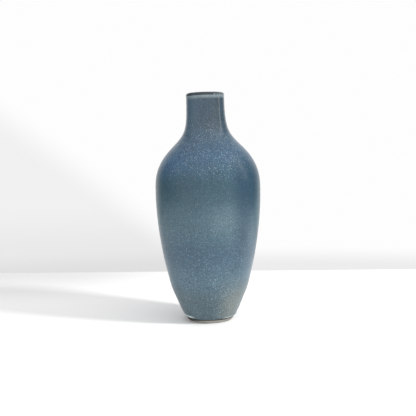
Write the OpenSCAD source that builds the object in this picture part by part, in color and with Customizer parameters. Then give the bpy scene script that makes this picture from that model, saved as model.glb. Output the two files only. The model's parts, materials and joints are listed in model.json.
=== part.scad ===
// Stoneware bottle vase: a thrown clay body on a turned foot ring, a glaze coat outside that
// stops in a rolled edge above the bare foot, a glazed inside, and a glaze band over the lip.
// Every piece is turned about the Z axis. The origin is the centre of the standing face.

/* [Body] */
// Widest diameter of the glazed vase
belly_d = 115; // [94:0.5:140]
// Height of the widest point above the table
belly_h = 139.5; // [110:0.5:175]
// Rise from the widest point to the turn where the shoulder runs into the neck
shoulder_rise = 51.5; // [38:0.5:65]
// Diameter of that turn
turn_d = 77.4; // [62:0.2:90]
// Slope of the shoulder at the turn, away from upright
turn_angle = 45; // [32:1:58]
// Slope of the wall just above the foot, away from upright
flare_angle = 32; // [15:1:36]
// Thickness of the clay wall from the belly up to the turn
wall = 5.4; // [3.5:0.1:7.5]
// Thickness of the clay wall at the foot
base_wall = 7.4; // [5:0.1:9]
// Thickness of the floor at its centre, over the recess
floor_t = 8; // [5:0.5:12]

/* [Neck] */
// Outside diameter of the straight top of the neck
neck_d = 41.6; // [33:0.2:52]
// Rise from the turn to the top of the lip
neck_rise = 59; // [45:1:80]
// Straight stretch of the outside, below the top of the lip
neck_straight = 6; // [6:1:14]
// Thickness of the clay wall in the neck
neck_wall = 4.4; // [3:0.1:6]
// Straight depth of the mouth's bore, below the rounding of the lip
mouth_depth = 24; // [12:1:34]

/* [Foot] */
// Outside diameter of the standing face
foot_d = 48.2; // [40:0.2:51]
// Width of the standing face
foot_w = 5; // [3:0.5:8]
// Height of the bare foot ring, up to the groove
foot_h = 4.2; // [3:0.1:6]
// Height of the groove between the foot ring and the clay above it
groove_h = 0.8; // [0.4:0.1:1.5]
// Depth of the groove, in from the clay above it
groove_t = 0.9; // [0.4:0.1:1.5]
// Rise of the recess under the floor, from its rim to its centre
recess_rise = 1.6; // [0.5:0.1:3]

/* [Glaze] */
// Diameter of the glazed vase at the lower edge of the glaze
glaze_line_d = 56; // [54:0.1:62]
// Thickness of the outer glaze
glaze_t = 0.8; // [0.5:0.1:1.2]
// Thickness of the rolled edge where the glaze stops
roll_t = 1.3; // [1.2:0.1:2]
// Half the width of that rolled edge, along the wall
roll_w = 1.1; // [0.8:0.1:1.8]
// Thickness of the glaze inside
liner_t = 0.6; // [0.4:0.1:1]
// Height of the glaze band over the lip, on the outside
rim_band_h = 3.2; // [3.1:0.1:6]

/* [Hidden] */
$fn = 96;
// Fullness of each curve: the length of its two handles as a share of its rise
LOW_FULL = [0.295, 0.241];
SHOULDER_FULL = [0.3, 0.55];
NECK_FULL = [0.386, 0.672];
MOUTH_FULL = [0.42, 0.62];
FLOOR_FULL = [0.62, 0.5];
// Where along the lower curve the floor runs into the wall, and how wide the body keeps its
// extra thickness
FLOOR_JOIN = 0.17;
WALL_TAPER = 2;
// How far the finer steps of the rolled edge reach, as a multiple of roll_w
ROLL_REACH = 3.5;
// Steps along each curve
ROLL_STEPS = 14;
LOW_STEPS = 24;
SHOULDER_STEPS = 16;
NECK_STEPS = 18;
FLOOR_STEPS = 12;
LIP_STEPS = 12;
RECESS_STEPS = 6;
// Fall of the rolled edge's extra thickness, as a share of roll_w
ROLL_FALL = 1.3;
// Small bevels of the foot ring
FOOT_BEVEL = 0.4;
FOOT_RIM_BEVEL = 0.3;
FOOT_STEP = 0.15;
RECESS_DRAFT = 0.8;

// Heights of the joints between the curves
line_h = foot_h + groove_h;
turn_h = belly_h + shoulder_rise;
top_h = turn_h + neck_rise;
// Radii, and the mouth that the neck's wall and its two coats leave
neck_r = neck_d / 2;
mouth_r = neck_r - glaze_t - neck_wall - liner_t;
lip_r = (neck_r - mouth_r) / 2;
lip_h = top_h - lip_r;
foot_r = foot_d / 2;
recess_r = foot_r - foot_w;

// Cubic curve through four control points, and its direction
function curve_at(p, t) =
    pow(1 - t, 3) * p[0] + 3 * pow(1 - t, 2) * t * p[1] + 3 * (1 - t) * t * t * p[2] + pow(t, 3) * p[3];
function curve_dir(p, t) =
    pow(1 - t, 2) * (p[1] - p[0]) + 2 * (1 - t) * t * (p[2] - p[1]) + t * t * (p[3] - p[2]);
// Unit normal to the right of a direction, which is outwards on a wall that runs up
function right_of(v) = [v[1], -v[0]] / norm(v);
// A path is a list of [point, outward normal]; this walks part of a curve in even steps
function walk(p, t0, t1, steps, skip = 0) =
    [for (i = [skip : steps]) let (t = t0 + (t1 - t0) * i / steps) [curve_at(p, t), right_of(curve_dir(p, t))]];
// The points of a path moved along its normals, with one distance for the whole path
function moved(path, d) = [for (s = path) s[0] + d * s[1]];
function reversed(list) = [for (i = [len(list) - 1 : -1 : 0]) list[i]];

// Direction of a wall that leans out (positive) or in (negative) by an angle from upright
function lean(a) = [sin(a), cos(a)];
// Curves of the finished outside: foot to belly, belly to turn, turn to neck
low_rise = belly_h - line_h;
low_curve = [
    [glaze_line_d / 2, line_h],
    [glaze_line_d / 2, line_h] + LOW_FULL[0] * low_rise * lean(flare_angle),
    [belly_d / 2, belly_h - LOW_FULL[1] * low_rise],
    [belly_d / 2, belly_h]
];
shoulder_curve = [
    [belly_d / 2, belly_h],
    [belly_d / 2, belly_h + SHOULDER_FULL[0] * shoulder_rise],
    [turn_d / 2, turn_h] - SHOULDER_FULL[1] * shoulder_rise * lean(-turn_angle),
    [turn_d / 2, turn_h]
];
bend_rise = neck_rise - neck_straight;
neck_curve = [
    [turn_d / 2, turn_h],
    [turn_d / 2, turn_h] + NECK_FULL[0] * bend_rise * lean(-turn_angle),
    [neck_r, turn_h + (1 - NECK_FULL[1]) * bend_rise],
    [neck_r, turn_h + bend_rise]
];

// The rolled edge takes the first stretch of the lower curve, in finer steps. A cubic leaves its
// first point at three times the length of its first handle.
roll_share = ROLL_REACH * roll_w / (3 * LOW_FULL[0] * low_rise);
low_wall = concat(
    walk(low_curve, 0, roll_share, ROLL_STEPS),
    walk(low_curve, roll_share, 1, LOW_STEPS, 1)
);
shoulder_wall = walk(shoulder_curve, 0, 1, SHOULDER_STEPS, 1);
neck_wall_path = walk(neck_curve, 0, 1, NECK_STEPS, 1);
outside = concat(low_wall, shoulder_wall, neck_wall_path);

// Clay wall thickness at a height: thicker towards the foot
function wall_at(h) = wall + (base_wall - wall) * pow(max(0, 1 - h / belly_h), WALL_TAPER);
// Thickness of the outer glaze at a distance above its lower edge: a half-round rolled edge
// that thins into the even coat
function coat_at(s) =
    s < roll_w
    ? roll_t * sqrt(max(0, 1 - pow(1 - s / roll_w, 2)))
    : glaze_t + (roll_t - glaze_t) * exp(-pow((s / roll_w - 1) / ROLL_FALL, 2));

// The finished inside follows the outside, less the wall and both coats, up to the turn
function inner_step(s) = [s[0] - (glaze_t + wall_at(s[0][1]) + liner_t) * s[1], s[1]];
inner_start = inner_step([curve_at(low_curve, FLOOR_JOIN), right_of(curve_dir(low_curve, FLOOR_JOIN))]);
inner_wall = concat(
    [for (s = walk(low_curve, FLOOR_JOIN, 1, LOW_STEPS, 1)) inner_step(s)],
    [for (s = shoulder_wall) inner_step(s)]
);
inner_turn = inner_wall[len(inner_wall) - 1];
// The floor dishes up from its centre into the wall
floor_h = foot_h + recess_rise + floor_t + liner_t;
floor_curve = [
    [0, floor_h],
    [FLOOR_FULL[0] * inner_start[0][0], floor_h],
    inner_start[0] - FLOOR_FULL[1] * (inner_start[0][1] - floor_h) * [-inner_start[1][1], inner_start[1][0]],
    inner_start[0]
];
// The inside of the neck runs from the turn into the straight bore of the mouth
bore_h = lip_h - mouth_depth;
mouth_curve = [
    inner_turn[0],
    inner_turn[0] + MOUTH_FULL[0] * (bore_h - inner_turn[0][1]) * lean(-turn_angle),
    [mouth_r, bore_h - MOUTH_FULL[1] * (bore_h - inner_turn[0][1])],
    [mouth_r, bore_h]
];
inside = concat(
    walk(floor_curve, 0, 1, FLOOR_STEPS),
    inner_wall,
    walk(mouth_curve, 0, 1, NECK_STEPS, 1)
);

// The clay's own surfaces, under the two coats
clay_out = moved(outside, -glaze_t);
clay_in = moved(inside, liner_t);
// Half-oval over the lip, from the outside to the inside, without its two ends
function lip_arc(r_out, r_in, rise) = [
    for (i = [1 : LIP_STEPS - 1]) let (a = 180 * i / LIP_STEPS)
    [(r_out + r_in) / 2 + (r_out - r_in) / 2 * cos(a), lip_h + rise * sin(a)]
];
clay_lip = lip_arc(neck_r - glaze_t, mouth_r + liner_t, lip_r - glaze_t);
glaze_lip = lip_arc(neck_r, mouth_r, lip_r);

// The foot ring's seat against the underside of the clay: from the recess to the groove
seat_r = clay_out[0][0] - groove_t;
recess_top_r = recess_r - RECESS_DRAFT;
// Shallow dome of the recess roof, from its centre out to its rim
recess_roof = [
    for (i = [0 : RECESS_STEPS]) let (a = 90 * i / RECESS_STEPS)
    [recess_top_r * sin(a), foot_h + recess_rise * cos(a)]
];

module turned(points) {
    rotate_extrude() polygon(points);
}

// Thrown wall, shoulder, neck and floor, bare clay under the coats
module clay_body() {
    color("#c9bda6")
        turned(concat(
            recess_roof,
            [[seat_r, foot_h]],
            clay_out,
            [[neck_r - glaze_t, lip_h]],
            clay_lip,
            [[mouth_r + liner_t, lip_h]],
            reversed(clay_in)
        ));
}

// Turned foot ring of bare clay, from the standing face up to the groove
module foot_ring() {
    color("#b9b3a4")
        turned([
            [recess_r, 0],
            [foot_r, 0],
            [foot_r + FOOT_BEVEL, FOOT_BEVEL],
            [clay_out[0][0] - FOOT_STEP, foot_h - FOOT_RIM_BEVEL],
            [seat_r, foot_h],
            [recess_top_r, foot_h],
            [recess_r - FOOT_BEVEL, FOOT_BEVEL]
        ]);
}

// Outer glaze: an even coat with a rolled lower edge, up to the band over the lip
module outer_glaze() {
    line = outside[0][0];
    skin = [for (s = outside) s[0] + (coat_at(norm(s[0] - line)) - glaze_t) * s[1]];
    skin_above = [for (i = [1 : len(skin) - 1]) skin[i]];
    color("#5a7d93")
        turned(concat(
            skin_above,
            [[neck_r, top_h - rim_band_h], [neck_r - glaze_t, top_h - rim_band_h]],
            reversed(clay_out)
        ));
}

// Glaze of the inside, from the floor up to the rounding of the lip
module liner_glaze() {
    color("#7d97a3")
        turned(concat(
            reversed(concat(moved(inside, 0), [[mouth_r, lip_h]])),
            clay_in,
            [[mouth_r + liner_t, lip_h]]
        ));
}

// Glaze band over the lip, where the two glazes meet
module rim_glaze() {
    color("#33424c")
        turned(concat(
            [[neck_r - glaze_t, top_h - rim_band_h], [neck_r, top_h - rim_band_h], [neck_r, lip_h]],
            glaze_lip,
            [[mouth_r, lip_h], [mouth_r + liner_t, lip_h]],
            reversed(clay_lip),
            [[neck_r - glaze_t, lip_h]]
        ));
}

clay_body();
foot_ring();
outer_glaze();
liner_glaze();
rim_glaze();
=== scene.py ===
import json
import math

import bpy
import numpy as np
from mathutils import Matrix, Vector


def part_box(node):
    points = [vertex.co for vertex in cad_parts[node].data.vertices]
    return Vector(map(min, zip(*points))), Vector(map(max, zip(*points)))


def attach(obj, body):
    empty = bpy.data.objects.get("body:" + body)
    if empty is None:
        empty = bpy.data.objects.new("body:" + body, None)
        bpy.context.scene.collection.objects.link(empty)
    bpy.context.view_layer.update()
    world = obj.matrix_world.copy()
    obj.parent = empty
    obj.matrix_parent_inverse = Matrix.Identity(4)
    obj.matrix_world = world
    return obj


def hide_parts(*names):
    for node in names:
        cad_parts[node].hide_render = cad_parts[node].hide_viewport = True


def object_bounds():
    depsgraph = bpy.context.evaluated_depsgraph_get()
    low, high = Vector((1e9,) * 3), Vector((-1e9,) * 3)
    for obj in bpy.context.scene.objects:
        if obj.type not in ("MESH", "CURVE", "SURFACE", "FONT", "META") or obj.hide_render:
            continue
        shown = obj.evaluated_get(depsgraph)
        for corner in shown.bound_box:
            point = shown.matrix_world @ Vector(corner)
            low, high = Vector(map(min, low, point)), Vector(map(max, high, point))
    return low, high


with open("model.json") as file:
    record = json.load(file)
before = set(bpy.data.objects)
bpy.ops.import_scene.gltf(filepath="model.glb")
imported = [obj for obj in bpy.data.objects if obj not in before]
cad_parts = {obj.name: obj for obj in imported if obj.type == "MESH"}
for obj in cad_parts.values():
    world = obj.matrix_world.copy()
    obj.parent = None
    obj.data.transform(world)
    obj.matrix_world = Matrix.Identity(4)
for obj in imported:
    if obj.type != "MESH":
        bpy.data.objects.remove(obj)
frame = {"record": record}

bl_info = {
    "name": "Stoneware bottle vase",
    "version": (1, 0, 0),
    "blender": (4, 5, 0),
    "location": "3D View > Sidebar > Vase",
    "description": "Throws, glazes and stages a stoneware bottle vase around its packed frame",
    "category": "Add Mesh",
}

# Lengths are in metres. The vase stands on z = 0 about the z axis, with its front toward -y.

BODY = "root"
MM = 0.001
SENSOR_WIDTH = 36.0

CAD_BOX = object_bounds()
LINER_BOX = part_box("liner_glaze")
RIM_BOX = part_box("rim_glaze")
FOOT_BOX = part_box("foot_ring")
MOUTH = next(m for m in frame["record"]["mounts"] if m["name"] == "mouth")
TOP = CAD_BOX[1].z
LINER = 0.0006  # thickness of the glaze inside


# ---------------------------------------------------------------- sizes and colours

def length(name, description, default):
    """A size in metres, shown with the scene's own unit."""
    return bpy.props.FloatProperty(
        name=name, description=description, default=default, unit="LENGTH", precision=5
    )


def number(name, description, default):
    """A plain number, such as a share or a strength."""
    return bpy.props.FloatProperty(name=name, description=description, default=default, precision=3)


def angle(name, description, degrees):
    """An angle, held in radians and shown in degrees."""
    return bpy.props.FloatProperty(
        name=name, description=description, default=math.radians(degrees), subtype="ANGLE"
    )


def colour(name, description, rgb):
    """A linear colour, chosen with Blender's colour picker."""
    return bpy.props.FloatVectorProperty(
        name=name, description=description, default=rgb, size=3, subtype="COLOR", min=0.0, max=1.0
    )


def power(name, description, default):
    """The power of a light, in watts."""
    return bpy.props.FloatProperty(name=name, description=description, default=default, unit="POWER")


class VaseForm(bpy.types.PropertyGroup):
    """The turned shape, before the hand's small unevenness."""

    belly_width: length("Belly width", "Widest diameter, over the glaze", 0.115)
    belly_height: length("Belly height", "Height of the widest point", 0.1395)
    shoulder_rise: length("Shoulder rise", "From the widest point to the turn into the neck", 0.0515)
    turn_width: length("Turn width", "Diameter where the shoulder turns into the neck", 0.0774)
    turn_angle: angle("Turn slope", "Slope of the shoulder at the turn, from upright", 45)
    flare_angle: angle("Foot flare", "Slope of the wall above the foot, from upright", 32)
    neck_width: length("Neck width", "Diameter of the neck's straight top", RIM_BOX[1].x - RIM_BOX[0].x)
    neck_straight: length("Neck straight", "Straight stretch under the lip", 0.006)
    mouth_radius: length("Mouth radius", "Radius of the bore", MOUTH["dims"]["r_mm"] * MM)
    mouth_depth: length("Mouth depth", "Straight depth of the bore", MOUTH["dims"]["length_mm"] * MM)
    line_width: length("Glaze line width", "Diameter at the lower edge of the glaze", 0.056)
    line_height: length("Glaze line height", "Height of the lower edge of the glaze", 0.005)
    wall: length("Wall", "Clay wall of the belly and shoulder", 0.0054)
    base_wall: length("Base wall", "Clay wall at the foot", 0.0074)
    liner: length("Liner", "Thickness of the glaze inside", LINER)
    floor_height: length("Floor height", "Height of the glazed floor inside", LINER_BOX[0].z + LINER)
    foot_height: length("Foot height", "Height of the bare foot ring", FOOT_BOX[1].z)
    foot_width: length("Foot width", "Diameter of the standing face", 0.0482)
    foot_land: length("Foot land", "Width of the standing face", 0.005)
    groove: length("Groove", "Depth of the groove above the foot ring", 0.0009)
    recess: length("Recess", "Rise of the recess under the floor", 0.0016)
    glaze: length("Glaze", "Thickness of the outer glaze", 0.0008)
    roll: length("Roll", "Thickness of the rolled lower edge of the glaze", 0.0013)
    roll_width: length("Roll width", "Half the width of the rolled edge", 0.0011)
    rim_band: length("Lip band", "Height of the dark band over the lip", RIM_BOX[1].z - RIM_BOX[0].z)


class VaseHand(bpy.types.PropertyGroup):
    """What the hand and the wheel leave behind."""

    neck_lean: length("Neck lean", "How far the lip stands off the body's axis", 0.0012)
    shoulder_lean: length("Shoulder lean", "How far the shoulder stands off it the other way", 0.0003)
    oval: number("Oval", "Share by which the body is out of round", 0.0025)
    swell: length("Swell", "Height of the slow waves in the lower wall", 0.00042)
    swell_pitch: length("Swell pitch", "Height of one slow wave", 0.0405)
    swell_middle: length("Swell middle", "Height where the slow waves are strongest", 0.0298)
    swell_reach: length("Swell reach", "How far from there the slow waves fade", 0.024)
    rings: length("Throwing rings", "Height of the spiral ridges", 0.000035)
    ring_pitch: length("Ring pitch", "Rise of the spiral in one turn", 0.0065)
    ring_fade: length("Ring fade", "Height over which the ridges come and go once", 0.03307)
    lip_tilt: length("Lip tilt", "How far the lip rises and falls round its edge", 0.00022)
    lean_start: length("Lean start", "How far under the neck's turn the lean begins", 0.005)
    lean_reach: length("Lean reach", "How far from the turn the shoulder's own lean fades", 0.016)
    tilt_reach: length("Tilt reach", "How far under the lip its rise and fall begins", 0.02)
    line_wander: length("Line wander", "How far the glaze line wanders", 0.0003)
    band_wander: length("Band wander", "How far the edge of the lip band wanders", 0.0009)


class VaseGlaze(bpy.types.PropertyGroup):
    """Colours of the clay and of the glazes."""

    neck_tone: colour("Neck", "Grey blue of the neck", (0.052, 0.084, 0.116))
    shoulder_tone: colour("Shoulder", "Blue of the shoulder", (0.040, 0.098, 0.165))
    waist_tone: colour("Waist", "Dark teal around the widest point", (0.041, 0.092, 0.124))
    belly_tone: colour("Belly", "Paler teal of the belly", (0.063, 0.126, 0.163))
    deep_tone: colour("Deep", "Deeper blue below the belly", (0.047, 0.101, 0.151))
    skirt_tone: colour("Skirt", "Blue grey above the foot", (0.073, 0.138, 0.184))
    foot_tone: colour("Foot", "Grey teal at the foot", (0.065, 0.110, 0.135))
    olive_tone: colour("Olive", "Olive grey where the neck's glaze thins", (0.088, 0.092, 0.078))
    # Painted highlight: a pale patch on the front of the belly, standing in for a soft reflection.
    belly_highlight_tone: colour("Bloom", "Cloud of paler glaze on the belly", (0.118, 0.190, 0.220))
    # Painted shade: deep blue that darkens the right of the front of the belly and shoulder.
    painted_shade_tone: colour("Shade", "Cloud of deep blue on the right", (0.024, 0.064, 0.104))
    swash_tone: colour("Swash", "Clear blue on the left of the shoulder", (0.056, 0.138, 0.255))
    # Painted bounce light: warm grey low on the right of the front, standing in for light from the table.
    bounce_light_tone: colour("Pale", "Warm grey where the glaze thins beside the foot", (0.262, 0.270, 0.232))
    speck_tone: colour("Specks", "Pale specks in the glaze", (0.58, 0.72, 0.76))
    lip_tone: colour("Lip", "Dark glaze over the lip", (0.024, 0.038, 0.050))
    # This pale also paints the highlight on the right of the lip band.
    lip_pale: colour("Lip line", "Pale line where the glaze draws back from the lip", (0.25, 0.31, 0.33))
    # Painted highlight on the rolled lower edge of the glaze, standing in for reflections.
    roll_highlight_tone: colour("Crest", "Pale crest where the glaze thins over its rolled edge", (0.66, 0.76, 0.76))
    liner_tone: colour("Liner", "Glaze of the inside", (0.08, 0.12, 0.15))
    clay_tone: colour("Clay", "Bare fired clay", (0.34, 0.33, 0.30))
    # Dark grains of the clay, and the dark line where glaze meets clay: partly a dark joint, partly painted
    # shade.
    grain_and_shade_tone: colour("Stain", "Dark line where glaze and bare clay meet", (0.035, 0.035, 0.035))


class VaseStage(bpy.types.PropertyGroup):
    """Table, light and camera."""

    distance: number("Camera distance", "From the vase's axis, in heights of the vase", 3.0)
    eye: number("Eye height", "In heights of the vase", 0.8)
    aside: length("Aside", "How far the camera stands to the right", -0.0003)
    pitch: angle("Pitch", "How far the camera looks down", 5.785)
    roll: angle("Roll", "How far the camera is turned about its own axis", 1.1)
    lens: number("Lens", "Focal length on a 36 mm sensor", 58.98)
    table_back: length("Table back", "From the vase's axis to the back edge of the table", 0.271)
    table_front: length("Table front", "From the vase's axis to the front edge of the table", 0.47)
    table_side: length("Table side", "From the vase's axis to either side of the table", 0.7)
    table_turn: angle("Table turn", "How far the back edge runs off square", 3)
    table_tone: colour("Table", "Pale paint of the table", (0.97, 0.97, 0.97))
    front_glow: number("Front glow", "Brightness of the room in front", 0.70)
    back_glow: number("Back glow", "Brightness of the room behind", 0.95)
    top_glow: number("Top glow", "Brightness of the room overhead", 0.48)
    side_glow: number("Side glow", "Least brightness of the room, at both sides", 0.06)
    low_glow: number("Low glow", "Brightness of the room low in front, added to the rest", 0.46)
    wall_glow: number("Wall glow", "Brightness of the plain wall that the camera sees", 0.985)
    key_power: power("Key power", "Power of the key light", 12.1)
    table_power: power("Table power", "Power of the key's twin, which only the table receives", 14.0)
    strip_power: power("Strip power", "Power of the strip light", 0.85)


GROUPS = {"vase_form": VaseForm, "vase_hand": VaseHand, "vase_glaze": VaseGlaze, "vase_stage": VaseStage}


# ---------------------------------------------------------------- curves

# How far the handles of each curve reach at its start and its end, as shares of its rise. The
# first share of FLOOR_FULL is of the floor's radius.
LOW_FULL = (0.295, 0.241)
SHOULDER_FULL = (0.3, 0.55)
NECK_FULL = (0.386, 0.672)
MOUTH_FULL = (0.42, 0.62)
FLOOR_FULL = (0.62, 0.5)

FLOOR_JOIN = 0.17  # share of the low curve where the dished floor meets the wall
ROLL_FALL = 1.3  # how far the rolled edge fades into the coat, in half widths of the roll
RING_LEAN = 0.0008  # how far the foot ring's inner face leans inwards on its way up
AROUND = 360
TURN = np.linspace(0, 2 * math.pi, AROUND, endpoint=False)[None, :]


def cubic(points, share):
    """Point of a cubic curve at each share t: the four control points weighted by (1-t)^3,
    3(1-t)^2 t, 3(1-t) t^2 and t^3."""
    p = np.asarray(points, float)
    t = np.asarray(share, float)[..., None]
    return (1 - t) ** 3 * p[0] + 3 * (1 - t) ** 2 * t * p[1] + 3 * (1 - t) * t**2 * p[2] + t**3 * p[3]


def cubic_normal(points, share):
    """Unit normal to the right of a cubic curve: its derivative turned a quarter turn clockwise."""
    p = np.asarray(points, float)
    t = np.asarray(share, float)[..., None]
    way = (1 - t) ** 2 * (p[1] - p[0]) + 2 * (1 - t) * t * (p[2] - p[1]) + t**2 * (p[3] - p[2])
    way = way / np.linalg.norm(way, axis=-1, keepdims=True)
    return np.stack([way[..., 1], -way[..., 0]], axis=-1)


def lean(slope):
    """Direction of a wall that leans out by an angle from upright."""
    return np.array([math.sin(slope), math.cos(slope)])


def outside_curves(form):
    """Control points of the finished outside: foot to belly, belly to turn, turn to neck."""
    belly = np.array([form.belly_width / 2, form.belly_height])
    turn = np.array([form.turn_width / 2, form.belly_height + form.shoulder_rise])
    line = np.array([form.line_width / 2, form.line_height])
    neck = np.array([form.neck_width / 2, TOP - form.neck_straight])
    low_rise, bend_rise = belly[1] - line[1], neck[1] - turn[1]
    up = np.array([0.0, 1.0])
    return (
        (line, line + LOW_FULL[0] * low_rise * lean(form.flare_angle),
         belly - LOW_FULL[1] * low_rise * up, belly),
        (belly, belly + SHOULDER_FULL[0] * form.shoulder_rise * up,
         turn - SHOULDER_FULL[1] * form.shoulder_rise * lean(-form.turn_angle), turn),
        (turn, turn + NECK_FULL[0] * bend_rise * lean(-form.turn_angle),
         neck - NECK_FULL[1] * bend_rise * up, neck),
    )


def wall_at(form, height):
    """Clay wall at a height: the belly's wall, plus the extra at the foot times the square of the
    share of the way down from the widest point."""
    way_down = np.clip(1 - height / form.belly_height, 0, 1)
    return form.wall + (form.base_wall - form.wall) * way_down**2


def inside_path(form):
    """Points and outward normals of the finished inside, from the centre of the floor up to the
    rounding of the lip: a dished floor, the outside less the wall and both coats, and a curve
    into the straight bore."""
    low, shoulder, _ = outside_curves(form)
    low_share = np.linspace(FLOOR_JOIN, 1, 60)
    shoulder_share = np.linspace(0, 1, 25)[1:]
    outer = np.concatenate([cubic(low, low_share), cubic(shoulder, shoulder_share)])
    normal = np.concatenate([cubic_normal(low, low_share), cubic_normal(shoulder, shoulder_share)])
    depth = form.glaze + wall_at(form, outer[:, 1]) + form.liner
    wall = outer - depth[:, None] * normal
    floor = np.array([0.0, form.floor_height])
    start, start_way = wall[0], np.array([-normal[0][1], normal[0][0]])
    floor_curve = (floor, np.array([FLOOR_FULL[0] * start[0], form.floor_height]),
                   start - FLOOR_FULL[1] * (start[1] - form.floor_height) * start_way, start)
    lip = lip_height(form)
    bore = np.array([form.mouth_radius, lip - form.mouth_depth])
    turn = wall[-1]
    rise = bore[1] - turn[1]
    mouth_curve = (turn, turn + MOUTH_FULL[0] * rise * lean(-form.turn_angle),
                   bore - np.array([0, MOUTH_FULL[1] * rise]), bore)
    floor_share = np.linspace(0, 1, 17)[:-1]
    mouth_share = np.linspace(0, 1, 31)[1:]
    climb = np.linspace(bore[1], lip, 9)[1:]
    straight = np.stack([np.full_like(climb, form.mouth_radius), climb], axis=1)
    points = np.concatenate([
        cubic(floor_curve, floor_share), wall, cubic(mouth_curve, mouth_share), straight,
    ])
    normals = np.concatenate([
        cubic_normal(floor_curve, floor_share), normal,
        cubic_normal(mouth_curve, mouth_share), np.tile([1.0, 0.0], (len(climb), 1)),
    ])
    return points, normals


def lip_height(form):
    """Height where the rounding of the lip begins: its radius is half the finished wall."""
    return TOP - (form.neck_width / 2 - form.mouth_radius) / 2


def half_oval(outer, inner, base, rise, rows):
    """Points over the lip, from the outer to the inner radius: the radius runs as the cosine and
    the height as the sine of half a turn."""
    turn = np.linspace(0, math.pi, rows)
    middle, reach = (outer + inner) / 2, (outer - inner) / 2
    return np.stack([middle + reach * np.cos(turn), base + rise * np.sin(turn)], axis=1)


def smooth(x):
    """Eases from 0 to 1 as x goes from 0 to 1, flat at both ends: 3x^2 - 2x^3."""
    x = np.clip(x, 0, 1)
    return x * x * (3 - 2 * x)


def waver(phase):
    """A slow uneven wave round the vase, about -1 to 1: three sines, of 2, 3 and 7 waves to the
    turn, each weaker than the last."""
    return 0.5 * np.sin(2 * TURN + phase) + 0.33 * np.sin(3 * TURN + 2.1 * phase) \
        + 0.17 * np.sin(7 * TURN + 0.6 * phase)


# ---------------------------------------------------------------- meshes

def by_hand(radius, height, form, hand):
    """Sets ideal radii and heights at every turn into x, y and z as the hand leaves them. The
    radius gains a slow swell in the lower wall, a fine spiral of throwing rings that come and go,
    and a slight oval. The axis leans one way at the shoulder and the other at the lip. The lip
    rises and falls once round."""
    above_foot = np.clip(height / form.line_height - 1, 0, 1)
    from_swell = height - hand.swell_middle
    swell = hand.swell * np.sin(2 * math.pi * from_swell / hand.swell_pitch) \
        * np.exp(-(from_swell / hand.swell_reach) ** 2)
    rings = hand.rings * np.sin(2 * math.pi * height / hand.ring_pitch - TURN) \
        * (1 + 0.5 * np.sin(2 * math.pi * height / hand.ring_fade + 2 * TURN))
    oval = hand.oval * np.cos(2 * TURN + 1.0) * smooth(height / form.belly_height)
    radius_now = radius * (1 + oval) + above_foot * (swell + rings) * (radius > 0)
    shoulder_top = form.belly_height + form.shoulder_rise
    to_lip = smooth((height - shoulder_top + hand.lean_start) / (TOP - shoulder_top))
    at_shoulder = np.exp(-((height - shoulder_top) / hand.lean_reach) ** 2)
    shift = hand.shoulder_lean * at_shoulder - hand.neck_lean * to_lip
    near_lip = smooth(1 + (height - TOP) / hand.tilt_reach)
    lift = hand.lip_tilt * near_lip * np.cos(TURN) * np.minimum(radius / (form.neck_width / 2), 1)
    return radius_now * np.cos(TURN) + shift, radius_now * np.sin(TURN), height + lift


def all_round(points):
    """Repeats section points (rows, 2) at every turn, as (rows, AROUND, 2)."""
    points = np.asarray(points, float)
    return np.broadcast_to(points[:, None, :], (len(points), AROUND, 2))


def ring(radius, height):
    """One row of section points at every turn, as (1, AROUND, 2)."""
    return np.stack([np.broadcast_to(radius, TURN.shape), np.broadcast_to(height, TURN.shape)], axis=-1)


def turned_piece(name, points, form, hand, poles=False):
    """Turns a section about z: vertex (i, j) is section point i at turn j, with points as
    (rows, AROUND, 2) radii and heights. The section runs up the outside and down the inside. It
    closes on itself, or with poles=True it begins and ends on the axis, where each row of equal
    points becomes one vertex with a fan of triangles."""
    rows = len(points)
    x, y, z = by_hand(points[..., 0], points[..., 1], form, hand)
    row = np.arange(rows - 1 if poles else rows)[:, None]
    column = np.arange(AROUND)[None, :]
    above, beside = (row + 1) % rows, (column + 1) % AROUND
    quads = np.stack(np.broadcast_arrays(row * AROUND + column, row * AROUND + beside,
                                         above * AROUND + beside, above * AROUND + column), axis=-1)
    verts = np.stack([x, y, z], axis=-1).reshape(-1, 3)
    faces = quads.reshape(-1, 4).tolist()
    if poles:
        verts = verts[AROUND - 1:-(AROUND - 1)]
        last = len(verts) - 1
        first, final = 1 + column[0], last - AROUND + column[0]
        inner = quads[1:-1].reshape(-1, 4) - (AROUND - 1)
        start = np.stack([np.zeros(AROUND, int), np.roll(first, -1), first], axis=1)
        end = np.stack([final, np.roll(final, -1), np.full(AROUND, last)], axis=1)
        faces = inner.tolist() + start.tolist() + end.tolist()
    mesh = bpy.data.meshes.new(name)
    mesh.from_pydata(verts.tolist(), [], faces)
    mesh.polygons.foreach_set("use_smooth", np.ones(len(mesh.polygons), bool))
    mesh.update()
    piece = bpy.data.objects.new(name, mesh)
    bpy.context.scene.collection.objects.link(piece)
    return piece


def settle(piece, material, node):
    """Gives a finished piece its material and its body, and hides the CAD node it stands for."""
    piece.data.materials.append(material)
    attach(piece, BODY)
    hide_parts(node)


# ---------------------------------------------------------------- shader maths

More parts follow.
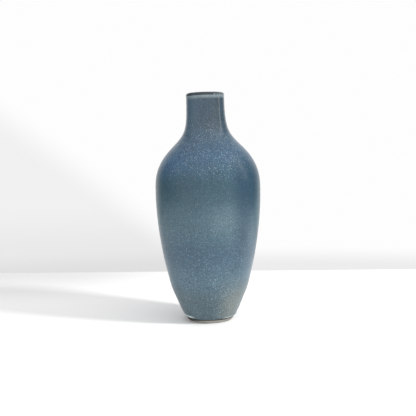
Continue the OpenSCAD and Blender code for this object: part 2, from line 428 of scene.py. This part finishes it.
class Level:
    """A number that varies over a surface: a socket with Python's arithmetic on it."""

    def __init__(self, web, socket):
        self.web = web
        self.socket = socket

    def maths(self, operation, *values):
        """Adds a Math node that works on the values, which are numbers or levels."""
        return self.web.add("ShaderNodeMath", {"operation": operation}, dict(enumerate(values)))

    def __add__(self, other):
        return self.maths("ADD", self, other)

    def __radd__(self, other):
        return self.maths("ADD", other, self)

    def __sub__(self, other):
        return self.maths("SUBTRACT", self, other)

    def __rsub__(self, other):
        return self.maths("SUBTRACT", other, self)

    def __mul__(self, other):
        return self.maths("MULTIPLY", self, other)

    def __rmul__(self, other):
        return self.maths("MULTIPLY", other, self)

    def __truediv__(self, other):
        return self.maths("DIVIDE", self, other)

    def clamped(self):
        """The level, held between 0 and 1."""
        return self.maths("MAXIMUM", self.maths("MINIMUM", self, 1.0), 0.0)

    def eased(self, start, end):
        """0 at start and 1 at end, with an even S between them; start may be above end."""
        return self.web.add(
            "ShaderNodeMapRange", {"interpolation_type": "SMOOTHSTEP"},
            {"Value": self, "From Min": start, "From Max": end, "To Min": 0.0, "To Max": 1.0},
        )

    def between(self, start, full, fade, end):
        """Rises from 0 at start to 1 at full, and falls from 1 at fade to 0 at end."""
        return self.eased(start, full) * self.eased(end, fade)


class Web:
    """A node tree, and the one way in which nodes are added to it."""

    def __init__(self, tree):
        self.tree = tree
        self.tree.nodes.clear()

    def feed(self, socket, value):
        """Sets a socket to a value, or links a level to it."""
        if isinstance(value, Level):
            self.tree.links.new(value.socket, socket)
        elif socket.type == "RGBA":
            socket.default_value = (*value, 1.0)
        else:
            socket.default_value = value

    def add(self, kind, settings=None, sockets=None, output=0):
        """Adds a node: its settings first, then the values or links of its sockets."""
        node = self.tree.nodes.new(kind)
        for name, value in (settings or {}).items():
            setattr(node, name, value)
        for name, value in (sockets or {}).items():
            self.feed(node.inputs[name], value)
        return Level(self, node.outputs[output]) if node.outputs else None

    def axes(self, vector):
        """The x, y and z of a vector, as three levels."""
        return [
            self.add("ShaderNodeSeparateXYZ", {}, {"Vector": vector}, output=axis) for axis in "XYZ"
        ]

    def mix(self, first, second, share):
        """Mixes two colours by a share of the second."""
        return self.add("ShaderNodeMix", {"data_type": "RGBA"}, {0: share, 6: first, 7: second}, output=2)

    def brighten(self, tint, level):
        """Multiplies a colour by a level."""
        return self.add("ShaderNodeVectorMath", {"operation": "SCALE"}, {0: tint, "Scale": level})

    def ladder(self, level, *steps):
        """A colour that eases from each step's tone to the next; a step is (level, tone)."""
        tone = steps[0][1]
        for (below, _), (above, next_tone) in zip(steps, steps[1:]):
            tone = self.mix(tone, next_tone, level.eased(below, above))
        return tone


class Finish(Web):
    """A procedural material: one Principled shader and the nodes that feed it."""

    def __init__(self, name, **constants):
        self.material = bpy.data.materials.new(name)
        self.material.use_nodes = True
        super().__init__(self.material.node_tree)
        surface = self.add("ShaderNodeBsdfPrincipled", {}, constants)
        self.add("ShaderNodeOutputMaterial", {}, {"Surface": surface})
        self.shader = surface.socket.node
        self.place = self.add("ShaderNodeTexCoord", output="Object")
        self.right, self.back, self.height = self.axes(self.place)

    def wear(self, socket, value):
        """Sets or links one socket of the shader."""
        self.feed(self.shader.inputs[socket], value)

    def noise(self, scale, detail=2.0, rough=0.5, flat=1.0):
        """Smooth noise of about 0 to 1, with scale features to the metre; flat presses them lower
        than they are wide."""
        place = self.add("ShaderNodeMapping", {}, {"Vector": self.place, "Scale": (1.0, 1.0, flat)})
        return self.add("ShaderNodeTexNoise", {}, {
            "Vector": place, "Scale": scale, "Detail": detail, "Roughness": rough})

    def dots(self, scale, size, start, end):
        """Round dots of size in cells, one to a cell. Each cell has its own strength: 0 below the
        share start of all cells, and full above the share end."""
        sockets = {"Vector": self.place, "Scale": scale, "Randomness": 1.0}
        distance = self.add("ShaderNodeTexVoronoi", {}, sockets, output="Distance")
        tint = self.add("ShaderNodeTexVoronoi", {}, sockets, output="Color")
        chance = self.add("ShaderNodeSeparateColor", {}, {"Color": tint}, output="Red")
        return distance.eased(size, size * 0.4) * chance.eased(start, end)

    def bump(self, height, distance, strength):
        """Tilts the shading normal as a relief would whose height of 1 is distance, in metres."""
        return self.add("ShaderNodeBump", {}, {
            "Height": height, "Distance": distance, "Strength": strength}, output="Normal")


# ---------------------------------------------------------------- finishes

def clouded(finish, glaze, neck):
    """Tone of the blue glaze before its specks: a ladder of bands up the vase, whose edges drift,
    four patches on the front and one cloud on the neck. On the front are a painted highlight on
    the belly, painted shade on the right, a clear blue cloud on the left of the shoulder and
    painted warm bounce light low on the right. A patch is a level across times a level in
    height. Returns the tone, and the level of the painted shade on the right."""
    height, right = finish.height, finish.right
    drift = finish.noise(24.0, 3.0, 0.55, flat=1.5) - 0.5
    tone = finish.ladder(
        height + drift * 0.022, (0.024, glaze.foot_tone), (0.050, glaze.skirt_tone),
        (0.078, glaze.deep_tone), (0.112, glaze.belly_tone), (0.150, glaze.waist_tone),
        (0.184, glaze.shoulder_tone), (0.217, glaze.neck_tone))
    front = finish.back.eased(0.0, -0.03)
    # Painted highlight: a pale patch on the belly's front where a soft reflection falls.
    belly_highlight = right.between(-0.012, 0.016, 0.022, 0.044) * height.between(0.094, 0.114, 0.116, 0.142)
    lower_edge = right + (0.135 - height) * 0.25
    # Painted shade on the right of the front of the belly and shoulder.
    shade = right.eased(0.020, 0.036) * lower_edge.eased(0.056, 0.046) \
        * height.between(0.050, 0.105, 0.166, 0.190) * front
    swash = right.eased(-0.012, -0.036) * height.between(0.152, 0.178, 0.196, 0.212)
    # Painted warm light bounced from the table, low on the right of the front.
    pale = right.eased(0.002, 0.026) * height.eased(0.062, 0.012)
    olive = neck * right.between(-0.006, 0.008, 0.011, 0.019) * finish.noise(36.0).eased(0.3, 0.6)
    tone = finish.mix(tone, glaze.belly_highlight_tone, belly_highlight * front * 0.5)
    tone = finish.mix(tone, glaze.painted_shade_tone, shade * 0.75)
    tone = finish.mix(tone, glaze.swash_tone, swash * front * 0.5)
    tone = finish.mix(tone, glaze.bounce_light_tone, pale * front * 0.55)
    return finish.mix(tone, glaze.olive_tone, olive * 0.45), shade


def edged(finish, form, glaze, tone):
    """Adds the glaze's two edges to its tone: a broken pale line under the lip, weaker at the far
    left, and a painted highlight over the rolled lower edge, to the left and the right."""
    height, right = finish.height, finish.right
    gap, fade = 0.0012, 0.0035
    line = TOP - form.rim_band - gap
    broken = 1.0 - finish.noise(260.0) * 0.6
    under_lip = (height - right * 0.03).eased(line - fade, line) * broken
    side = (right / form.neck_width + 1.3).clamped()
    tone = finish.mix(tone, glaze.lip_pale, (under_lip * side * 1.15).clamped())
    above = height - form.line_height + right * 0.02
    # Painted highlight along the rolled lower edge, on both sides of the front.
    crest = above.between(0.0002, 0.0006, 0.0015, 0.0025)
    sides = (right.eased(-0.0155, -0.0225) + right.eased(0.012, 0.019) * 0.6).clamped()
    return finish.mix(tone, glaze.roll_highlight_tone, crest * sides)


def blue_glaze(form, glaze):
    """Glossy blue glaze: clouded tones with painted shade, a painted highlight and painted bounce
    light on the front, a mottle that is strongest on the shoulder, a neck that is paler on its
    left, a dense fine speckle with fewer bright specks in it, and the two edges, one of them a
    painted highlight. The neck is the glossiest part."""
    finish = Finish("blue_glaze", IOR=1.5)
    height, right = finish.height, finish.right
    neck = height.eased(0.196, 0.216)
    tone, shade = clouded(finish, glaze, neck)
    band = height.between(0.150, 0.172, 0.198, 0.238) * 0.65 + height.eased(0.135, 0.105) * 0.4 + 0.35
    cloud = finish.noise(55.0, 4.0, 0.6, flat=2.2) - 0.5
    grain = finish.noise(760.0, 2.0, 0.65, flat=1.6) - 0.5
    mottle = cloud * 0.34 + grain * (0.7 + band * 2.2)
    neck_light = neck * right.eased(0.0, -0.02) * 0.6
    tone = finish.brighten(tone, 1.0 + mottle + neck_light)
    dense = finish.noise(30.0).eased(0.32, 0.68)
    fine = finish.dots(800.0, 0.40, 0.25, 1.0) * (0.45 + dense * 0.6)
    bright = finish.dots(470.0, 0.21, 0.45, 1.0)
    # Fewer specks on the neck and in the painted shade.
    specks = ((fine + bright * 1.5) * band * (1.0 - neck * 0.3 - shade * 0.5)).clamped()
    tone = finish.mix(tone, glaze.speck_tone, specks * 0.62)
    finish.wear("Base Color", edged(finish, form, glaze, tone))
    finish.wear("Roughness", 0.31 - neck * 0.17 + grain * 0.06 + specks * 0.14)
    relief = finish.noise(900.0) * 0.35 + specks * 0.65
    finish.wear("Normal", finish.bump(relief, 0.00005, 0.5))
    return finish.material


def lip_glaze(glaze):
    """Dark glaze drawn thin over the lip, with a painted highlight that makes it paler toward the
    right, and pale specks where the clay shows through."""
    finish = Finish("lip_glaze", IOR=1.5)
    thin = finish.noise(180.0, 3.0, 0.6).eased(0.5, 0.8)
    tone = finish.mix(glaze.lip_tone, glaze.neck_tone, thin * 0.5)
    # Painted highlight: the lip band is paler toward the right.
    tone = finish.mix(tone, glaze.lip_pale, finish.right.eased(0.006, 0.018) * 0.3)
    tone = finish.mix(tone, glaze.lip_pale, finish.dots(330.0, 0.42, 0.6, 0.9) * 0.8)
    finish.wear("Base Color", tone)
    finish.wear("Roughness", 0.26 + finish.noise(400.0) * 0.12)
    finish.wear("Normal", finish.bump(finish.noise(500.0, 3.0), 0.00008, 0.6))
    return finish.material


def liner_glaze(glaze):
    """Thinner, quieter glaze of the inside."""
    finish = Finish("liner_glaze", IOR=1.5)
    cloud = finish.noise(60.0, 4.0, 0.6) - 0.5
    tone = finish.brighten(glaze.liner_tone, 1.0 + cloud * 0.5)
    tone = finish.mix(tone, glaze.speck_tone, finish.dots(400.0, 0.3, 0.5, 1.0) * 0.4)
    finish.wear("Base Color", tone)
    finish.wear("Roughness", 0.28 + cloud * 0.15)
    finish.wear("Normal", finish.bump(finish.noise(350.0, 3.0), 0.0001, 0.5))
    return finish.material


def bare_clay(form, glaze):
    """Matt fired clay: fine grog, darker grains, and a dark line where the glaze begins, partly a
    dark joint and partly painted shade in the groove, which runs lower on the left as painted
    shade away from the key light."""
    finish = Finish("bare_clay", IOR=1.45)
    cloud = finish.noise(90.0, 3.0) - 0.5
    grog = finish.noise(1500.0, 2.0, 0.7) - 0.5
    tone = finish.brighten(glaze.clay_tone, 1.0 + cloud * 0.35 + grog * 0.45)
    tone = finish.mix(tone, glaze.grain_and_shade_tone, finish.dots(420.0, 0.3, 0.72, 0.95) * 0.6)
    # Partly a dark joint, partly painted shade: dark in the groove under the glaze, and lower on the left,
    # away from the key light.
    left = finish.right.eased(-0.006, -0.02)
    joint = (finish.height - form.foot_height + left * 0.0024).eased(-0.0009, 0.0001)
    finish.wear("Base Color", finish.mix(tone, glaze.grain_and_shade_tone, joint * 0.85))
    finish.wear("Roughness", 0.72 + grog * 0.2)
    finish.wear("Normal", finish.bump(finish.noise(1200.0, 3.0, 0.7), 0.00012, 0.7))
    return finish.material


# ---------------------------------------------------------------- pieces

def clay_outside(form):
    """Points of the clay under the outer glaze, up to where the rounding of the lip begins: the
    outside, less the glaze along its normals."""
    parts = []
    for curve, rows in zip(outside_curves(form), (40, 20, 20)):
        share = np.linspace(0, 1, rows)
        parts.append((cubic(curve, share) - form.glaze * cubic_normal(curve, share))[:-1])
    neck = form.neck_width / 2 - form.glaze
    top = np.array([[neck, TOP - form.neck_straight], [neck, lip_height(form)]])
    return np.concatenate(parts + [top])


def lip_round(form, depth, rows):
    """Half an oval over the lip. At depth 0 it is the finished surface. At depth 1 it lies under
    the outer glaze on the outside and on top, and under the liner on the inside."""
    return half_oval(form.neck_width / 2 - form.glaze * depth, form.mouth_radius + form.liner * depth,
                     lip_height(form), TOP - form.glaze * depth - lip_height(form), rows)


class VASE_OT_throw_body(bpy.types.Operator):
    """Throw the clay body: recess, wall, lip and the inside under the glaze"""

    bl_idname = "vase.throw_body"
    bl_label = "Throw the clay body"

    def execute(self, context):
        form, hand = context.scene.vase_form, context.scene.vase_hand
        outer = clay_outside(form)
        inside, normals = inside_path(form)
        inner = (inside + form.liner * normals)[::-1]
        lip = lip_round(form, 1, 14)[1:-1]
        recess = form.foot_width / 2 - form.foot_land - RING_LEAN
        quarter = np.linspace(0, math.pi / 2, 12)
        shelf = form.foot_height
        roof = np.stack([recess * np.sin(quarter), shelf + form.recess * np.cos(quarter)], axis=1)
        seat = np.array([[outer[0, 0] - form.groove, shelf]])
        inner[-1, 0] = 0.0
        points = all_round(np.concatenate([roof, seat, outer, lip, inner]))
        piece = turned_piece("clay_wall", points, form, hand, poles=True)
        settle(piece, bare_clay(form, context.scene.vase_glaze), "clay_body")
        return {"FINISHED"}


class VASE_OT_turn_foot(bpy.types.Operator):
    """Turn the bare foot ring, with its worn face and tool marks"""

    bl_idname = "vase.turn_foot"
    bl_label = "Turn the foot ring"

    def execute(self, context):
        form, hand = context.scene.vase_form, context.scene.vase_hand
        outer = form.foot_width / 2
        inner = outer - form.foot_land
        top, shelf = clay_outside(form)[0, 0], form.foot_height
        bevel, slope_end = 0.0004, 0.0003
        corners = np.array([
            [inner, 0], [outer, 0], [outer + bevel, bevel], [top - slope_end / 2, shelf - slope_end],
            [top - form.groove, shelf], [inner - RING_LEAN, shelf], [inner - bevel, bevel],
        ])
        rows = (10, 4, 24, 5, 10, 10, 4)
        sides = [corner + (following - corner) * np.linspace(0, 1, count, endpoint=False)[:, None]
                 for corner, following, count in zip(corners, np.roll(corners, -1, axis=0), rows)]
        points = all_round(np.concatenate(sides)).copy()
        height = points[..., 1]
        edge = 2 * bevel
        face = smooth(height / edge) * smooth((shelf - height) / edge)
        wear, mark, mark_pitch = 0.00008, 0.00005, 0.0011
        tool_marks = np.sin(height * 2 * math.pi / mark_pitch + TURN)
        points[..., 0] += face * (wear * waver(1.3) + mark * tool_marks)
        piece = turned_piece("foot_band", points, form, hand)
        settle(piece, bare_clay(form, context.scene.vase_glaze), "foot_ring")
        return {"FINISHED"}


def band_edge(form, hand):
    """Height of the joint between the outer glaze and the dark band, round the neck: lower on the
    left than on the right, with a small waver."""
    return TOP - form.rim_band + hand.band_wander * (0.55 * np.cos(TURN) + 0.3 * waver(0.7) - 0.15)


def rolled_skin(form, hand, low):
    """Surface of the outer glaze from its lower edge to the widest point, as (rows, AROUND, 2).
    From a wandering line the coat rises in a quarter round, half a roll wide, and then falls from
    the roll's thickness to the coat's own as a bell curve. The rows are closest over the roll."""
    reach = 3 * LOW_FULL[0] * (form.belly_height - form.line_height)
    roll_end = 4 * form.roll_width
    rows = np.concatenate([np.linspace(0, roll_end, 26)[:-1] / reach, np.linspace(roll_end / reach, 1, 84)])
    line = hand.line_wander * waver(2.4) / reach
    share = line + (1 - line) * rows[:, None]
    above = np.minimum(rows * reach, roll_end)[:, None] / form.roll_width
    roll = form.roll * (1 + 0.16 * waver(4.2))
    coat = np.where(
        above < 1,
        roll * np.sqrt(np.clip(1 - (1 - above) ** 2, 0, 1)),
        form.glaze + (roll - form.glaze) * np.exp(-((above - 1) / ROLL_FALL) ** 2),
    )
    return cubic(low, share) + (coat - form.glaze)[..., None] * cubic_normal(low, share)


class VASE_OT_pour_outer_glaze(bpy.types.Operator):
    """Pour the outer glaze, with its rolled lower edge"""

    bl_idname = "vase.pour_outer_glaze"
    bl_label = "Pour the outer glaze"

    def execute(self, context):
        form, hand = context.scene.vase_form, context.scene.vase_hand
        low, shoulder, neck = outside_curves(form)
        skin = rolled_skin(form, hand, low)
        upper = all_round(np.concatenate([
            cubic(curve, np.linspace(0, 1, rows)[1:]) for curve, rows in ((shoulder, 44), (neck, 40))
        ]))
        edge = band_edge(form, hand)
        start = TOP - form.neck_straight
        collar = [ring(form.neck_width / 2, start + (edge - start) * climb)
                  for climb in np.linspace(0, 1, 7)[1:]]
        ledge = ring(form.neck_width / 2 - form.glaze, edge)
        back = all_round(clay_outside(form)[:-1][::-1])
        points = np.concatenate([skin[1:], upper, *collar, ledge, back])
        piece = turned_piece("glaze_coat", points, form, hand)
        settle(piece, blue_glaze(form, context.scene.vase_glaze), "outer_glaze")
        return {"FINISHED"}


class VASE_OT_line_inside(bpy.types.Operator):
    """Glaze the inside, from the floor up to the lip"""

    bl_idname = "vase.line_inside"
    bl_label = "Glaze the inside"

    def execute(self, context):
        form, hand = context.scene.vase_form, context.scene.vase_hand
        inside, normals = inside_path(form)
        back = inside + form.liner * normals
        back[0, 0] = inside[0, 0] = 0.0
        points = all_round(np.concatenate([back, inside[::-1]]))
        piece = turned_piece("inside_coat", points, form, hand, poles=True)
        settle(piece, liner_glaze(context.scene.vase_glaze), "liner_glaze")
        return {"FINISHED"}


class VASE_OT_dip_lip(bpy.types.Operator):
    """Dip the lip in the dark glaze"""

    bl_idname = "vase.dip_lip"
    bl_label = "Dip the lip"

    def execute(self, context):
        form, hand = context.scene.vase_form, context.scene.vase_hand
        loop = all_round(np.concatenate([lip_round(form, 0, 28), lip_round(form, 1, 18)[::-1]]))
        edge, outer = band_edge(form, hand), form.neck_width / 2
        points = np.concatenate([ring(outer, edge), loop, ring(outer - form.glaze, edge)])
        piece = turned_piece("lip_band", points, form, hand)
        settle(piece, lip_glaze(context.scene.vase_glaze), "rim_glaze")
        return {"FINISHED"}


# ---------------------------------------------------------------- stage

def table_paint(shade):
    """Plain matt paint, with painted shade toward the back left and at the back edge."""
    finish = Finish("table_paint", Roughness=0.95)
    # Painted shade toward the back left and along the back edge of the table.
    corner = finish.right.eased(0.04, -0.22) * finish.back.eased(0.07, 0.22)
    edge = finish.back.eased(0.19, 0.27)
    finish.wear("Base Color", finish.brighten(shade, 1.0 - corner * 0.19 - edge * 0.07))
    return finish.material


def soft_light(name, energy, place, aim, size, glossy=True, diffuse=True, only=None):
    """A soft light of size (width, height) at place that faces aim. With only, that object alone
    receives it."""
    lamp = bpy.data.lights.new(name, "AREA")
    lamp.shape = "RECTANGLE"
    lamp.size, lamp.size_y = size
    lamp.energy = energy
    holder = bpy.data.objects.new(name, lamp)
    holder.location = place
    holder.rotation_euler = (Vector(aim) - Vector(place)).to_track_quat("-Z", "Y").to_euler()
    holder.visible_glossy, holder.visible_diffuse = glossy, diffuse
    bpy.context.scene.collection.objects.link(holder)
    if only is not None:
        holder.light_linking.receiver_collection = bpy.data.collections.new(name + "_receives")
        holder.light_linking.receiver_collection.objects.link(only)


class VASE_OT_set_stage(bpy.types.Operator):
    """Set the table, the soft light and the camera"""

    bl_idname = "vase.set_stage"
    bl_label = "Set the stage"

    def execute(self, context):
        stage = context.scene.vase_stage
        self.lay_table(context, stage)
        self.light_room(context, stage)
        self.place_camera(context, stage)
        return {"FINISHED"}

    @staticmethod
    def lay_table(context, stage):
        """A flat table top whose back edge runs off square."""
        back, front, side = stage.table_back, stage.table_front, stage.table_side
        slant = side * math.tan(stage.table_turn)
        mesh = bpy.data.meshes.new("table")
        mesh.from_pydata([(-side, -front, 0), (side, -front, 0), (side, back - slant, 0),
                          (-side, back + slant, 0)], [], [(0, 1, 2, 3)])
        mesh.materials.append(table_paint(stage.table_tone))
        table = bpy.data.objects.new("table", mesh)
        context.scene.collection.objects.link(table)

    @staticmethod
    def light_room(context, stage):
        """A pale room, bright behind, in front and overhead and dark at both sides, a key light
        from the right with its twin for the table, and a tall strip light at the right. The wall
        that the camera sees is plain, with a soft shade on the left and below."""
        world = bpy.data.worlds.new("pale_room")
        world.use_nodes = True
        room = Web(world.node_tree)
        way = room.add("ShaderNodeTexCoord", output="Generated")
        right, back, up = room.axes(way)
        facing = (up * 0.57 - back * 1.10 - right * 0.06).eased(-0.288, 0.892)
        behind = back.eased(0.45, 0.95)
        low = up.eased(0.0, -0.4) * back.eased(0.3, -0.7)
        overhead = up.eased(0.15, 0.85) * (1.0 + right * 0.58)
        glow = facing * stage.front_glow + behind * stage.back_glow + low * stage.low_glow \
            + overhead * stage.top_glow + stage.side_glow
        left = (up + right * 0.81 + 0.195).eased(0.035, -0.035)
        near = up.eased(-0.155, -0.185)
        left_shade = left * (0.11 + up.eased(-0.09, -0.16) * 0.06)
        wall = stage.wall_glow - left_shade - near * (0.14 - left * 0.07)
        seen = room.add("ShaderNodeLightPath", output="Is Camera Ray")
        strength = glow + (wall - glow) * seen
        light = room.add("ShaderNodeBackground", {}, {"Color": (1.0, 1.0, 1.0), "Strength": strength})
        room.add("ShaderNodeOutputWorld", {}, {"Surface": light})
        context.scene.world = world
        context.scene.view_settings.view_transform = "Standard"
        key = {"place": (1.4, -0.62, 1.0), "aim": (0, 0, 0.1), "size": (0.24, 0.24), "glossy": False}
        soft_light("key", stage.key_power, **key)
        soft_light("table_key", stage.table_power, only=bpy.data.objects["table"], **key)
        soft_light("strip", stage.strip_power, (0.9, 0.0, 0.67), (0, 0, TOP), (0.12, 0.9), diffuse=False)

    @staticmethod
    def place_camera(context, stage):
        """The camera, in front of the vase. It looks down and is turned a little about its axis."""
        lens = bpy.data.cameras.new("camera")
        lens.lens, lens.sensor_width = stage.lens, SENSOR_WIDTH
        lens.clip_start, lens.clip_end = 0.01, 50.0
        camera = bpy.data.objects.new("camera", lens)
        context.scene.collection.objects.link(camera)
        camera.location = (stage.aside, -stage.distance * TOP, stage.eye * TOP)
        camera.rotation_mode = "XYZ"
        camera.rotation_euler = (math.pi / 2 - stage.pitch, 0, 0)
        camera.rotation_euler.rotate_axis("Z", -stage.roll)
        context.scene.camera = camera


class VASE_PT_panel(bpy.types.Panel):
    """Lists the vase's pieces in the order in which they are made"""

    bl_idname = "VASE_PT_panel"
    bl_label = "Bottle vase"
    bl_space_type = "VIEW_3D"
    bl_region_type = "UI"
    bl_category = "Vase"

    def draw(self, context):
        for operator in OPERATORS:
            self.layout.operator(operator.bl_idname)
        for group, kind in GROUPS.items():
            box = self.layout.box()
            box.label(text=kind.__doc__)
            for name in kind.__annotations__:
                box.prop(getattr(context.scene, group), name)


OPERATORS = (
    VASE_OT_set_stage, VASE_OT_throw_body, VASE_OT_turn_foot,
    VASE_OT_pour_outer_glaze, VASE_OT_line_inside, VASE_OT_dip_lip,
)


def register():
    """Registers every class, and gives the scene its four groups of settings."""
    for kind in (*GROUPS.values(), *OPERATORS, VASE_PT_panel):
        bpy.utils.register_class(kind)
    for name, kind in GROUPS.items():
        setattr(bpy.types.Scene, name, bpy.props.PointerProperty(type=kind))


def unregister():
    """Takes back what register did."""
    for name in GROUPS:
        delattr(bpy.types.Scene, name)
    for kind in reversed((*GROUPS.values(), *OPERATORS, VASE_PT_panel)):
        bpy.utils.unregister_class(kind)


def main():
    """Makes the stage and every piece."""
    register()
    bpy.ops.vase.set_stage()
    bpy.ops.vase.throw_body()
    bpy.ops.vase.turn_foot()
    bpy.ops.vase.pour_outer_glaze()
    bpy.ops.vase.line_inside()
    bpy.ops.vase.dip_lip()


if __name__ == "__main__":
    main()
